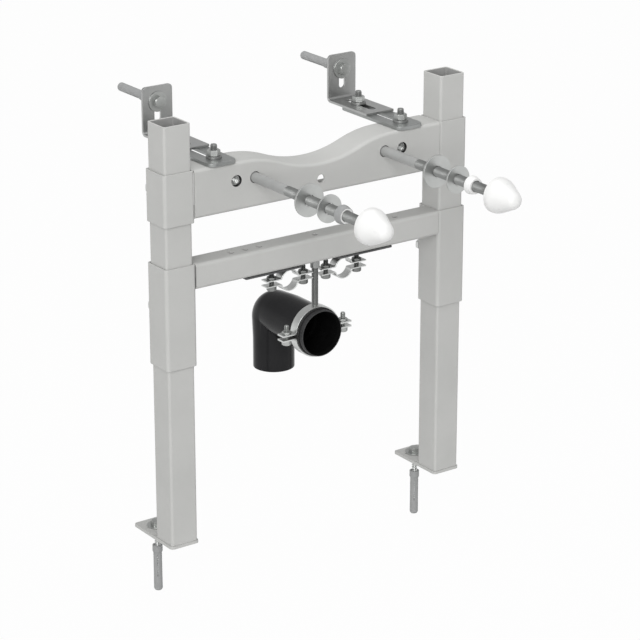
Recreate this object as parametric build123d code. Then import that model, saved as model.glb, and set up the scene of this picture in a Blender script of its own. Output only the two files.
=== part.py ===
from build123d import *
from math import acos, atan2, cos, sin, sqrt
import os

# Bidet installation frame. X runs along the beam, +Y goes back to the wall, +Z is up.
# The origin is on the underside of the left foot plate, below the middle of the left leg.

# Legs: square tubes welded on to foot plates
leg_spacing = 380.0
leg_width = 35.0
leg_wall = 2.0
leg_corner = 3.0
leg_top = 503.0
foot_thickness = 3.5
foot_width = 38.0
foot_lip = 1.0
foot_tail = 47.5
foot_corner = 4.0
vent_hole = 4.0
vent_inset = 3.5

# Fixing set: one hex screw, washer and nylon plug at each foot and each wall angle
screw_shank = 7.0
screw_hex = 13.0
screw_head = 5.5
screw_washer = 24.0
screw_washer_thickness = 1.5
screw_hole = 8.5
screw_end_in_plug = 6.0
floor_screw_back = {"left": 44.0, "right": 46.5}
plug_gap = 21.0
plug_length = 58.0
plug_diameter = 10.3
plug_collar = 12.0
plug_collar_length = 8.0
plug_tip_chamfer = 1.5
plug_slit = 1.0
plug_slit_start = 4.0
plug_slit_length = 27.0
floor_plug_turn = -35.0
screw_clearance = 0.1

# Sleeves that slide on the legs, and the bolts that lock them from behind
sleeve_gap = 0.5
sleeve_wall = 2.0
sleeve_corner = 4.0
upper_sleeve_bottom = 388.5
upper_sleeve_height = 60.5
lower_sleeve_bottom = 219.5
lower_sleeve_height = 120.5
lock_thread = 8.0
lock_hex = 13.0
lock_nut = 7.0
lock_head = 5.5
lock_length = 18.5
lock_tip_gap = 0.2

# Top beam: pressed channel, open at the back, with a dip in its top edge
beam_height = 56.5
beam_sheet = 2.5
beam_bend = 4.0
beam_dip = 20.0
dip_half_length = 105.0
beam_centre_hole = 10.0
beam_centre_hole_up = 17.5

# Threaded inserts behind the beam and the rods in the inner pair
rod_spacing = 180.0
insert_spacing = 230.0
insert_up = 35.0
insert_diameter = 20.0
insert_length = 15.0
insert_window = 13.5
rod_diameter = 12.0
rod_reach = 236.0
rod_chamfer = 1.0
thread_clearance = 0.1

# What is threaded on each rod: how far its back face stands in front of the beam
large_washer = 38.0
large_washer_thickness = 2.5
large_washer_reach = {"left": 104.0, "right": 97.5}
small_washer = 32.0
small_washer_thickness = 2.0
small_washer_reach = {"left": 142.0, "right": 136.0}
washer_clearance = 0.4
bush_diameter = 21.5
bush_nose = 18.0
bush_length = 9.0
bush_reach = {"left": 166.5, "right": 161.0}
cap_diameter = 40.4
cap_rim = 7.0
cap_nose = 11.0
cap_length = 36.0
cap_wall = 2.5
rod_in_cap = {"left": 20.0, "right": 29.0}

# Wall brackets: a slotted strip on the beam and an angle bolted on the strip
bracket_inset = {"left": 57.5, "right": 63.5}
bracket_sheet = 4.0
strip_width = 37.5
strip_overhang = 2.5
strip_length = 118.0
strip_corner = 9.0
bracket_slot = 9.0
strip_slot_front = 15.0
strip_slot_back = 6.0
angle_sheet = 3.0
angle_width = 40.0
angle_leg = 80.0
angle_height = 57.0
angle_back = 119.0
angle_bend = 6.0
angle_corner = 5.0
angle_slot_front = 12.0
angle_slot_back = 14.0
wall_slot_bottom = 15.0
wall_slot_top = 44.0
wall_screw_up = 38.5
bracket_thread = 8.0
bracket_hex = 13.0
bracket_nut = 7.0
bracket_washer = 18.0
bracket_washer_thickness = 2.6
bracket_bolt_end = 6.0
bracket_bolt_head = 5.0
bracket_bolt_head_diameter = 17.0
beam_bolt_back = -1.0
angle_bolt_back = 82.5

# Lower bar: square tube with a row of holes in its top, over the line of the clamps below
bar_height = 30.0
bar_depth = 30.0
bar_wall = 2.0
bar_corner = 4.0
bar_hole = 7.0
bar_hole_back = 12.5
bar_hole_first = 77.0
bar_hole_pitch = 19.0
bar_hole_rows = 3

# Clamps for the two water pipes, each below a plate under the bar
clamp_plate_inner = 25.5
clamp_plate_outer = 103.0
clamp_plate_thickness = 2.2
clamp_plate_lip = 1.0
water_clamp_spacing = 76.0
water_clamp_back = 1.0
water_clamp_bore = 23.0
water_clamp_band = 1.5
water_clamp_width = 12.0
water_clamp_ear = 32.0
water_clamp_ear_gap = 5.3
water_clamp_pad = 1.6
water_clamp_pad_width = 8.0
water_screw_offset = 22.0
water_screw_stand = 9.0

# Hanger rod, waste clamp with rubber lining, and the waste elbow in it
hanger_diameter = 8.0
hanger_boss = 11.0
hanger_boss_length = 10.0
hanger_length = 56.5
waste_clamp_band = 2.0
waste_clamp_width = 12.0
waste_clamp_ear = 48.5
waste_clamp_ear_gap = 4.0
waste_screw_offset = 40.0
waste_screw_stand = 10.0
clamp_screw = 6.0
clamp_screw_hex = 10.0
clamp_screw_head = 5.5
clamp_nut = 3.0
lining_thickness = 1.0
lining_width = 16.0
lining_clearance = 0.05
socket_diameter = 56.0
socket_bore = 50.0
socket_depth = 46.0
socket_front = 14.5
mouth_diameter = 53.6
mouth_depth = 5.0
elbow_reach = 100.4
elbow_drop = 70.5
elbow_bend = 8.0
elbow_body = 52.0
elbow_taper = 25.0
spigot_diameter = 50.0
spigot_length = 37.0
elbow_wall = 3.0

# Places that follow from the sizes above
left_x = 0.0
right_x = leg_spacing
mid_x = (left_x + right_x) / 2
leg_face = leg_width / 2
sleeve_width = leg_width + 2 * (sleeve_gap + sleeve_wall)
sleeve_face = sleeve_width / 2
front_y = -sleeve_face
back_y = sleeve_face
beam_half = leg_spacing / 2 - sleeve_face
beam_top = upper_sleeve_bottom + upper_sleeve_height
beam_bottom = beam_top - beam_height
insert_z = beam_bottom + insert_up
bar_top = lower_sleeve_bottom + lower_sleeve_height
bar_bottom = bar_top - bar_height
bar_mid_y = front_y + bar_depth / 2
pipe_y = front_y + bar_hole_back
strip_top = beam_top + bracket_sheet
angle_top = strip_top + angle_sheet
plate_bottom = bar_bottom - clamp_plate_thickness
legs = {"left": left_x, "right": right_x}
inward = {"left": 1, "right": -1}
rods = {"left": mid_x - rod_spacing / 2, "right": mid_x + rod_spacing / 2}
brackets = {"left": left_x + bracket_inset["left"], "right": right_x - bracket_inset["right"]}


def along_z(sketch, low, high):
    """Extrude a sketch drawn in x and y from one height to another."""
    return extrude(Plane.XY.offset(low) * sketch, high - low)


def along_y(sketch, front, back):
    """Extrude a sketch drawn in x and z from a front to a back depth."""
    return extrude(Plane.XZ.offset(-back) * sketch, back - front)


def along_x(sketch, start, end):
    """Extrude a sketch drawn in y and z from one x to another."""
    return extrude(Plane.YZ.offset(start) * sketch, end - start)


def span(x0, x1, y0, y1):
    """A rectangle between two corners of a sketch."""
    return Pos((x0 + x1) / 2, (y0 + y1) / 2) * Rectangle(x1 - x0, y1 - y0)


def hexagon(across_flats):
    """The outline of a hex head or nut."""
    return RegularPolygon(across_flats / 2, 6, major_radius=False)


def ring(outer, inner):
    """A round ring from its two diameters."""
    return Circle(outer / 2) - Circle(inner / 2)


def save(name, solid):
    """Write one named piece."""
    export_step(solid, f"parts/{name}.step")


def square_tube(width, wall, corner, low, high):
    """A square tube with rounded corners, standing on the origin's axis."""
    inner = width - 2 * wall
    section = RectangleRounded(width, width, corner) - RectangleRounded(inner, inner, corner - wall)
    return along_z(section, low, high)


def foot_plate(screw_back):
    """A foot plate with its floor screw hole and two vent holes behind the leg."""
    front = -leg_face - foot_lip
    back = leg_face + foot_tail
    outline = Pos(0, (front + back) / 2) * RectangleRounded(foot_width, back - front, foot_corner)
    outline -= Pos(0, screw_back) * Circle(screw_hole / 2)
    for side in (-1, 1):
        vent_x = side * (foot_width / 2 - vent_inset)
        outline -= Pos(vent_x, leg_face + vent_inset) * Circle(vent_hole / 2)
    return along_z(outline, 0, foot_thickness)


def fixing_screw(grip):
    """A hex screw and its washer, head up on z = 0, with the shank below through grip and plug."""
    head_low = screw_washer_thickness
    screw = along_z(Circle(screw_washer / 2), 0, head_low)
    screw += along_z(hexagon(screw_hex), head_low, head_low + screw_head)
    end = grip + plug_gap + plug_length - screw_end_in_plug
    screw += along_z(Circle(screw_shank / 2), -end, 0)
    return screw


def fixing_plug():
    """A nylon plug with a collar and an open slit, hanging below z = 0 on the screw's axis."""
    top = -plug_gap
    bottom = top - plug_length
    plug = along_z(Circle(plug_collar / 2), top - plug_collar_length, top)
    plug += along_z(Circle(plug_diameter / 2), bottom, top - plug_collar_length)
    plug = chamfer(plug.faces().sort_by(Axis.Z)[0].edges(), plug_tip_chamfer)
    slit_top = top - plug_collar_length - plug_slit_start
    plug -= along_z(Rectangle(plug_slit, plug_collar), slit_top - plug_slit_length, slit_top)
    bore = screw_shank / 2 + screw_clearance
    return plug - along_z(Circle(bore), bottom + screw_end_in_plug - screw_clearance, top)


def sleeve(low, height):
    """A sleeve with a nut welded on its back wall for the lock bolt."""
    tube = square_tube(sleeve_width, sleeve_wall, sleeve_corner, low, low + height)
    middle = Pos(0, low + height / 2)
    tube += along_y(middle * hexagon(lock_hex), back_y, back_y + lock_nut)
    bore = lock_thread / 2 + thread_clearance
    return tube - along_y(middle * Circle(bore), leg_face, back_y + lock_nut)


def lock_bolt(low, height):
    """A hex bolt through the welded nut, its tip just off the leg."""
    middle = Pos(0, low + height / 2)
    tip = leg_face + lock_tip_gap
    bolt = along_y(middle * Circle(lock_thread / 2), tip, tip + lock_length)
    return bolt + along_y(middle * hexagon(lock_hex), tip + lock_length, tip + lock_length + lock_head)


def beam_outline(inset, half):
    """The beam's front outline, moved inwards by inset, with a dip of equal tangent arcs."""
    top = beam_top - inset
    bottom = beam_bottom + inset
    radius = (dip_half_length**2 + beam_dip**2) / (4 * beam_dip)
    shoulder = radius - inset
    lean_x = dip_half_length / 2 / radius
    lean_z = (radius - beam_dip / 2) / radius
    centre_z = beam_top - radius
    turn_x = dip_half_length - shoulder * lean_x
    turn_z = centre_z + shoulder * lean_z
    half_lean = sqrt(lean_x**2 + (1 + lean_z) ** 2)
    bow_x = dip_half_length - shoulder * lean_x / half_lean
    bow_z = centre_z + shoulder * (1 + lean_z) / half_lean
    edges = [
        Line((-half, bottom), (-half, top)),
        Line((-half, top), (-dip_half_length, top)),
        ThreePointArc((-dip_half_length, top), (-bow_x, bow_z), (-turn_x, turn_z)),
        ThreePointArc((-turn_x, turn_z), (0, top - beam_dip), (turn_x, turn_z)),
        ThreePointArc((turn_x, turn_z), (bow_x, bow_z), (dip_half_length, top)),
        Line((dip_half_length, top), (half, top)),
        Line((half, top), (half, bottom)),
        Line((half, bottom), (-half, bottom)),
    ]
    return Pos(mid_x, 0) * make_face(edges)


def rounded_front(solid, radius):
    """Round the bent edges along the front face of a block, and leave its upright ends sharp."""
    front = solid.faces().sort_by(Axis.Y)[0]
    bent = [edge for edge in front.edges() if abs(edge.tangent_at(0.5).Z) < abs(edge.tangent_at(0.5).X)]
    return fillet(bent, radius)


def top_beam():
    """The pressed beam with its insert windows, centre hole and bracket bolt holes."""
    skin = along_y(beam_outline(0, beam_half), front_y, back_y)
    skin = rounded_front(skin, beam_bend)
    hollow = along_y(beam_outline(beam_sheet, leg_spacing / 2), front_y + beam_sheet, back_y + beam_sheet)
    hollow = rounded_front(hollow, beam_bend - beam_sheet)
    beam = skin - hollow
    windows = Pos(mid_x, beam_bottom + beam_centre_hole_up) * Circle(beam_centre_hole / 2)
    for spacing in (rod_spacing, insert_spacing):
        for side in (-1, 1):
            windows += Pos(mid_x + side * spacing / 2, insert_z) * Circle(insert_window / 2)
    beam -= along_y(windows, front_y, front_y + beam_sheet)
    for side in brackets:
        hole = Pos(brackets[side], beam_bolt_back) * Circle(bracket_thread / 2 + thread_clearance)
        beam -= along_z(hole, beam_top - beam_sheet, beam_top)
    return beam


def threaded_inserts():
    """Four threaded bushes welded behind the beam's front."""
    front = front_y + beam_sheet
    section = ring(insert_diameter, rod_diameter + 2 * thread_clearance)
    inserts = []
    for spacing in (rod_spacing, insert_spacing):
        for side in (-1, 1):
            place = Pos(mid_x + side * spacing / 2, insert_z)
            inserts.append(along_y(place * section, front, front + insert_length))
    return Compound(inserts)


def on_rod(side, sketch, reach, length):
    """Extrude a sketch on a rod's axis, from reach in front of the beam for a length further out."""
    return along_y(Pos(rods[side], insert_z) * sketch, front_y - reach - length, front_y - reach)


def fixing_rod(side):
    """A threaded rod from the back of its insert out to the cap."""
    inside = beam_sheet + insert_length
    rod = on_rod(side, Circle(rod_diameter / 2), -inside, inside + rod_reach)
    return chamfer(rod.faces().sort_by(Axis.Y)[0].edges(), rod_chamfer)


def rod_washers(side):
    """The large and the small washer of one rod."""
    hole = rod_diameter + 2 * washer_clearance
    large = on_rod(side, ring(large_washer, hole), large_washer_reach[side], large_washer_thickness)
    small = on_rod(side, ring(small_washer, hole), small_washer_reach[side], small_washer_thickness)
    return Compound([large, small])


def turned(side, points):
    """Turn a profile of radius and distance in front of the beam about a rod's axis."""
    profile = Plane((rods[side], front_y, insert_z), x_dir=(1, 0, 0), z_dir=(0, 0, 1)) * make_face(
        Polyline([(radius, -reach) for radius, reach in points], close=True)
    )
    return revolve(profile, Axis((rods[side], front_y, insert_z), (0, 1, 0)))


def rod_bush(side):
    """A tapered plastic bush on the rod."""
    back = bush_reach[side]
    front = back + bush_length
    bore = rod_diameter / 2 + washer_clearance
    return turned(side, [(bore, back), (bush_diameter / 2, back), (bush_nose / 2, front), (bore, front)])


def cap_profile(inset):
    """Half of a cap's section, moved inwards: a straight rim, a cone and a round nose tangent to it."""
    rim = cap_diameter / 2 - inset
    nose = cap_nose - inset
    centre = cap_length - cap_nose
    lean = atan2(cap_rim - centre, rim) + acos(nose / sqrt(rim**2 + (cap_rim - centre) ** 2))
    bow = (lean + atan2(1, 0)) / 2
    edges = [
        Line((0, 0), (rim, 0)),
        Line((rim, 0), (rim, -cap_rim)),
        Line((rim, -cap_rim), (nose * cos(lean), -centre - nose * sin(lean))),
        ThreePointArc(
            (nose * cos(lean), -centre - nose * sin(lean)),
            (nose * cos(bow), -centre - nose * sin(bow)),
            (0, -centre - nose),
        ),
        Line((0, -centre - nose), (0, 0)),
    ]
    return make_face(edges)


def rod_cap(side):
    """A hollow cap pushed on to the end of the rod by a tube inside it."""
    back = rod_reach - rod_in_cap[side]
    base = (rods[side], front_y - back, insert_z)
    plane = Plane(base, x_dir=(1, 0, 0), z_dir=(0, 0, 1))
    bore = rod_diameter + 2 * washer_clearance
    outside = revolve(plane * cap_profile(0), Axis(base, (0, 1, 0)))
    inside = revolve(plane * cap_profile(cap_wall), Axis(base, (0, 1, 0)))
    stem = on_rod(side, Circle(bore / 2 + cap_wall), back, cap_length) & outside
    hole = on_rod(side, Circle(bore / 2), back, rod_in_cap[side] + washer_clearance)
    return outside - inside + stem - hole


def bracket_strip(side):
    """A flat strip on the beam with one long slot."""
    front = front_y - strip_overhang
    back = front + strip_length
    x = brackets[side]
    outline = Pos(x, (front + back) / 2) * RectangleRounded(strip_width, strip_length, strip_corner)
    slot_low = front + strip_slot_front
    slot_high = back - strip_slot_back
    slot = Rot(0, 0, 90) * SlotOverall(slot_high - slot_low, bracket_slot)
    outline -= Pos(x, (slot_low + slot_high) / 2) * slot
    return along_z(outline, beam_top, strip_top)


def wall_angle(side):
    """A bent angle: a slotted leg on the strip and a slotted plate against the wall."""
    x = brackets[side]
    half = angle_width / 2
    front = angle_back - angle_leg
    outer = span(front, angle_back, strip_top, strip_top + angle_height)
    inner = span(front, angle_back - angle_sheet, angle_top, strip_top + angle_height)
    corner = outer.vertices().group_by(Axis.Y)[0].sort_by(Axis.X)[-1]
    inside = inner.vertices().group_by(Axis.Y)[0].sort_by(Axis.X)[-1]
    section = fillet(corner, angle_bend) - fillet(inside, angle_bend - angle_sheet)
    angle = along_x(section, x - half, x + half)
    plate_corners = angle.edges().filter_by(Axis.Y).group_by(Axis.Z)[-1]
    angle = fillet(plate_corners, angle_corner)
    leg_low = front + angle_slot_front
    leg_high = angle_back - angle_slot_back
    leg_slot = Rot(0, 0, 90) * SlotOverall(leg_high - leg_low, bracket_slot)
    angle -= along_z(Pos(x, (leg_low + leg_high) / 2) * leg_slot, strip_top, angle_top)
    wall_slot = Rot(0, 0, 90) * SlotOverall(wall_slot_top - wall_slot_bottom, screw_hole)
    slot_z = strip_top + (wall_slot_top + wall_slot_bottom) / 2
    return angle - along_y(Pos(x, slot_z) * wall_slot, angle_back - angle_sheet, angle_back)


def bracket_bolt(x, y, head_top, seat):
    """An upright bolt: round head below, washer and nut above the piece it holds."""
    place = Pos(x, y)
    nut_low = seat + bracket_washer_thickness
    nut_high = nut_low + bracket_nut
    bolt = along_z(place * Circle(bracket_bolt_head_diameter / 2), head_top - bracket_bolt_head, head_top)
    bolt += along_z(place * Circle(bracket_thread / 2), head_top, nut_high + bracket_bolt_end)
    bolt += along_z(place * Circle(bracket_washer / 2), seat, nut_low)
    return bolt + along_z(place * hexagon(bracket_hex), nut_low, nut_high)


def bracket_bolts():
    """Each bracket's bolt through the beam and bolt through the angle."""
    bolts = []
    for side in brackets:
        bolts.append(bracket_bolt(brackets[side], beam_bolt_back, beam_top - beam_sheet, strip_top))
        bolts.append(bracket_bolt(brackets[side], angle_bolt_back, beam_top, angle_top))
    return Compound(bolts)


def lower_bar():
    """The lower tube between the sleeves, with its row of holes in the top wall."""
    section = RectangleRounded(bar_depth, bar_height, bar_corner)
    inside = (bar_depth - 2 * bar_wall, bar_height - 2 * bar_wall)
    section -= RectangleRounded(*inside, bar_corner - bar_wall)
    section = Pos(bar_mid_y, bar_bottom + bar_height / 2) * section
    bar = along_x(section, mid_x - beam_half, mid_x + beam_half)
    holes = Pos(mid_x, pipe_y) * Circle(bar_hole / 2)
    for row in range(bar_hole_rows):
        for side in (-1, 1):
            hole_x = mid_x + side * (bar_hole_first + row * bar_hole_pitch)
            holes += Pos(hole_x, pipe_y) * Circle(bar_hole / 2)
    return bar - along_z(holes, bar_top - bar_wall, bar_top)


def clamp_plate(side):
    """A plate under one half of the bar that carries a water clamp."""
    near = mid_x - inward[side] * clamp_plate_inner
    far = mid_x - inward[side] * clamp_plate_outer
    outline = span(min(near, far), max(near, far), front_y + clamp_plate_lip, front_y + bar_depth)
    return along_z(outline, plate_bottom, bar_bottom)


def clamp_half(bore, band, ear, gap):
    """The upper half of a band clamp round the origin of a sketch, with a flat ear at each end."""
    outer = bore / 2 + band
    half = span(-outer, outer, gap / 2, outer) & Circle(outer)
    half += span(-ear, ear, gap / 2, gap / 2 + band)
    return half - Circle(bore / 2)


def clamp_solid(half, width, low, band, screw_at):
    """A clamp half made solid, with the screw holes through its ears."""
    solid = along_y(half, -width / 2, width / 2)
    for side in (-1, 1):
        hole = Pos(side * screw_at, 0) * Circle(clamp_screw / 2 + thread_clearance)
        solid -= along_z(hole, low, low + band)
    return solid


def water_clamp(side):
    """The upper and lower halves of one water pipe clamp, in place."""
    outer = water_clamp_bore / 2 + water_clamp_band
    centre_z = plate_bottom - water_clamp_pad - outer
    place = Pos(mid_x - inward[side] * water_clamp_spacing / 2, pipe_y + water_clamp_back, centre_z)
    half = clamp_half(water_clamp_bore, water_clamp_band, water_clamp_ear, water_clamp_ear_gap)
    pad_half = water_clamp_pad_width / 2
    pad = span(-pad_half, pad_half, water_clamp_bore / 2, outer + water_clamp_pad)
    cut = (water_clamp_width, water_clamp_ear_gap / 2, water_clamp_band, water_screw_offset)
    upper = clamp_solid(half + (pad - Circle(water_clamp_bore / 2)), *cut)
    lower = mirror(clamp_solid(half, *cut), Plane.XY)
    return place, upper, lower


def clamp_screws(place, offset, gap, band, stand):
    """The two screws of a clamp: hex head below, a nut on the upper ear and a free end above it."""
    screws = []
    low = -gap / 2 - band
    high = gap / 2 + band
    for side in (-1, 1):
        at = Pos(side * offset, 0)
        screw = along_z(at * hexagon(clamp_screw_hex), low - clamp_screw_head, low)
        screw += along_z(at * Circle(clamp_screw / 2), low, high + stand)
        screw += along_z(at * hexagon(clamp_screw_hex), high, high + clamp_nut)
        screws.append(place * screw)
    return screws


waste_bore = socket_diameter + 2 * lining_thickness
waste_outer = waste_bore / 2 + waste_clamp_band
waste_z = bar_bottom - hanger_length - waste_outer
waste_place = Pos(mid_x, pipe_y, waste_z)


def waste_clamp():
    """The upper and lower halves of the waste clamp, in place."""
    half = clamp_half(waste_bore, waste_clamp_band, waste_clamp_ear, waste_clamp_ear_gap)
    cut = (waste_clamp_width, waste_clamp_ear_gap / 2, waste_clamp_band, waste_screw_offset)
    upper = clamp_solid(half, *cut)
    return waste_place * upper, waste_place * mirror(upper, Plane.XY)


def hanger_rod():
    """The rod from the bar down to the crown of the waste clamp, with a boss at its top."""
    place = Pos(mid_x, pipe_y)
    rod = along_z(place * Circle(hanger_diameter / 2), waste_z + waste_bore / 2, bar_bottom)
    rod += along_z(place * Circle(hanger_boss / 2), bar_bottom - hanger_boss_length, bar_bottom)
    band = Pos(mid_x, waste_z) * Circle(waste_outer + lining_clearance)
    return rod - along_y(band, pipe_y - waste_clamp_width, pipe_y + waste_clamp_width)


def clamp_lining():
    """The rubber lining between the waste clamp and the socket."""
    section = ring(waste_bore - 2 * lining_clearance, socket_diameter + 2 * lining_clearance)
    place = Pos(mid_x, waste_z)
    return along_y(place * section, pipe_y - lining_width / 2, pipe_y + lining_width / 2)


def waste_elbow():
    """A waste elbow: a socket to the front, a tight bend with a creased throat, and a spigot down."""
    front = pipe_y - socket_front
    corner = front + elbow_reach
    bottom = waste_z - elbow_drop
    bend_start = corner - elbow_bend
    bend_end = waste_z - elbow_bend
    run_axis = Axis((mid_x, 0, waste_z), (0, 1, 0))
    run_plane = Plane((mid_x, 0, waste_z), x_dir=(1, 0, 0), z_dir=(0, 0, 1))
    drop_axis = Axis((mid_x, corner, 0), (0, 0, 1))
    drop_plane = Plane((mid_x, corner, 0), x_dir=(1, 0, 0), z_dir=(0, -1, 0))

    def bend(radius):
        """A quarter turn of the round section, cut off at the axis that it turns about."""
        section = Circle(radius) & span(-radius, radius, -elbow_bend, radius)
        placed = Plane.XZ.offset(-bend_start) * Pos(mid_x, waste_z) * section
        return revolve(placed, Axis((mid_x, bend_start, bend_end), (-1, 0, 0)), 90)

    def run(points):
        """Turn radius and depth points about the socket's axis."""
        return revolve(run_plane * make_face(Polyline(points, close=True)), run_axis)

    def drop(points):
        """Turn radius and height points about the spigot's axis."""
        return revolve(drop_plane * make_face(Polyline(points, close=True)), drop_axis)

    socket = socket_diameter / 2
    body = elbow_body / 2
    spigot = spigot_diameter / 2
    hollow = spigot - elbow_wall
    bore = socket_bore / 2
    mouth = mouth_diameter / 2
    seat = front + socket_depth
    taper = bend_start - elbow_taper
    shoulder = bottom + spigot_length
    outside = run([(0, front), (socket, front), (socket, taper), (body, bend_start), (0, bend_start)])
    outside += drop([(0, bottom), (spigot, bottom), (spigot, shoulder), (body, bend_end), (0, bend_end)])
    inside = run(
        [
            (0, front),
            (mouth, front),
            (bore, front + mouth_depth),
            (bore, seat),
            (hollow, seat),
            (hollow, bend_start),
            (0, bend_start),
        ]
    )
    inside += drop([(0, bottom), (hollow, bottom), (hollow, bend_end), (0, bend_end)])
    return outside + bend(body) - (inside + bend(hollow))


os.makedirs("parts", exist_ok=True)

floor_screws = []
for side, x in legs.items():
    save(f"{side}_leg", Pos(x, 0, 0) * square_tube(leg_width, leg_wall, leg_corner, foot_thickness, leg_top))
    screw_back = floor_screw_back[side]
    save(f"{side}_foot_plate", Pos(x, 0, 0) * foot_plate(screw_back))
    floor_screws.append(Pos(x, screw_back, foot_thickness) * fixing_screw(foot_thickness))
    save(f"{side}_floor_plug", Pos(x, screw_back, 0) * Rot(0, 0, floor_plug_turn) * fixing_plug())
save("floor_screws", Compound(floor_screws))

levels = {
    "upper": (upper_sleeve_bottom, upper_sleeve_height),
    "lower": (lower_sleeve_bottom, lower_sleeve_height),
}
for level, (low, height) in levels.items():
    for side, x in legs.items():
        save(f"{level}_{side}_sleeve", Pos(x, 0, 0) * sleeve(low, height))
    save(f"{level}_lock_bolts", Compound([Pos(x, 0, 0) * lock_bolt(low, height) for x in legs.values()]))

save("top_beam", top_beam())
save("threaded_inserts", threaded_inserts())
for side in rods:
    save(f"{side}_fixing_rod", fixing_rod(side))
    save(f"{side}_rod_washers", rod_washers(side))
    save(f"{side}_rod_bush", rod_bush(side))
    save(f"{side}_rod_cap", rod_cap(side))

wall_screws = []
for side, x in brackets.items():
    save(f"{side}_bracket_strip", bracket_strip(side))
    save(f"{side}_wall_angle", wall_angle(side))
    to_wall = Pos(x, angle_back, strip_top + wall_screw_up) * Rot(90, 0, 0)
    wall_screws.append(to_wall * Pos(0, 0, angle_sheet) * fixing_screw(angle_sheet))
    save(f"{side}_wall_plug", to_wall * fixing_plug())
save("wall_screws", Compound(wall_screws))
save("bracket_bolts", bracket_bolts())

save("lower_bar", lower_bar())
water_screws = []
for side in legs:
    save(f"{side}_clamp_plate", clamp_plate(side))
    place, upper_half, lower_half = water_clamp(side)
    save(f"{side}_water_clamp_upper", place * upper_half)
    save(f"{side}_water_clamp_lower", place * lower_half)
    water_screws += clamp_screws(
        place, water_screw_offset, water_clamp_ear_gap, water_clamp_band, water_screw_stand
    )
save("water_clamp_screws", Compound(water_screws))

waste_upper, waste_lower = waste_clamp()
save("waste_clamp_upper", waste_upper)
save("waste_clamp_lower", waste_lower)
save("waste_clamp_lining", clamp_lining())
waste_screws = clamp_screws(
    waste_place, waste_screw_offset, waste_clamp_ear_gap, waste_clamp_band, waste_screw_stand
)
save("waste_clamp_screws", Compound(waste_screws))
save("hanger_rod", hanger_rod())
save("waste_elbow", waste_elbow())
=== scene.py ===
import math
import bmesh
import bpy
import numpy as np
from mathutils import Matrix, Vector


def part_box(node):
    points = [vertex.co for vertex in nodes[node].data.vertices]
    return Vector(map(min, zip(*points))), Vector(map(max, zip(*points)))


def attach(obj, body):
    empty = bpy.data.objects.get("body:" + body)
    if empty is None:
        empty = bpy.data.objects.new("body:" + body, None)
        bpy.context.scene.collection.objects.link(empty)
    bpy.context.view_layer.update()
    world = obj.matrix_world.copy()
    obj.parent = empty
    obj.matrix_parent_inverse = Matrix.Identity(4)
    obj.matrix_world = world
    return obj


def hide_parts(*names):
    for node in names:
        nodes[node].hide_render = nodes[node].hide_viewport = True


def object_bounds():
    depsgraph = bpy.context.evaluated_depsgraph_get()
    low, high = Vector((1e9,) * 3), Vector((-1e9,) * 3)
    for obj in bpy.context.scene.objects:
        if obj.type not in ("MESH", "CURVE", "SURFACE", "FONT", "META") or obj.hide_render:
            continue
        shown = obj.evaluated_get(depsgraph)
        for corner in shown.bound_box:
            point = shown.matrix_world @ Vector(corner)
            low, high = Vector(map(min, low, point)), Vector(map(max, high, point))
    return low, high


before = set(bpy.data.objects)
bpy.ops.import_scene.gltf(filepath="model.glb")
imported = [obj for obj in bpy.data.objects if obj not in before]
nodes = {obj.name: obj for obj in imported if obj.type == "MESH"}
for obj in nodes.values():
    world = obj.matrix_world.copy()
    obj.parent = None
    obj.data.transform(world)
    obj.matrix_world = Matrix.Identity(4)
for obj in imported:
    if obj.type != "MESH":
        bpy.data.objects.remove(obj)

cad_low, cad_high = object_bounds()

# Studio: a white surround that is darker overhead, and a pale floor just under the plugs' tips.
# A broad soft lamp stands far off at the front left, and a small one hangs over the beam.
# The camera's place and lens put the legs, beam and bar where the picture has them.
look_at = Vector((0.202540, -0.000044, 0.230160))
camera_from = (35.141, 19.984)
camera_distance = 3.0592
sensor_width = 36.0
focal_pixels = 2612.0
picture_pixels = 640.0


def seen_from(azimuth, elevation):
    """Unit vector from the object to a place that many degrees left of its front and above it."""
    turn = math.radians(azimuth)
    rise = math.radians(elevation)
    level = math.cos(rise)
    return Vector((-math.sin(turn) * level, -math.cos(turn) * level, math.sin(rise)))


camera_data = bpy.data.cameras.new("camera")
camera_data.sensor_width = sensor_width
camera_data.lens = sensor_width * focal_pixels / picture_pixels
camera = bpy.data.objects.new("camera", camera_data)
camera.location = look_at + seen_from(*camera_from) * camera_distance
camera.rotation_euler = seen_from(*camera_from).to_track_quat("Z", "Y").to_euler()
bpy.context.collection.objects.link(camera)
bpy.context.scene.camera = camera
bpy.context.scene.view_settings.view_transform = "Standard"

front_lamp_from = (43.0, 25.0)
front_lamp_distance = 10.0
front_lamp_size = (6.0, 8.4)
front_lamp_watts = 678.0
top_lamp_rise = Vector((0.0, 0.0, 0.85))
top_lamp_size = (0.6, 0.3)
top_lamp_watts = 1.45


def soft_lamp(name, place, size, watts):
    """A rectangular lamp that faces the middle of the object."""
    lamp_data = bpy.data.lights.new(name, "AREA")
    lamp_data.shape = "RECTANGLE"
    lamp_data.size, lamp_data.size_y = size
    lamp_data.energy = watts
    lamp = bpy.data.objects.new(name, lamp_data)
    lamp.location = place
    lamp.rotation_euler = (place - look_at).to_track_quat("Z", "Y").to_euler()
    bpy.context.collection.objects.link(lamp)


front_lamp_place = look_at + seen_from(*front_lamp_from) * front_lamp_distance
soft_lamp("front lamp", front_lamp_place, front_lamp_size, front_lamp_watts)
soft_lamp("top lamp", look_at + top_lamp_rise, top_lamp_size, top_lamp_watts)


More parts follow.
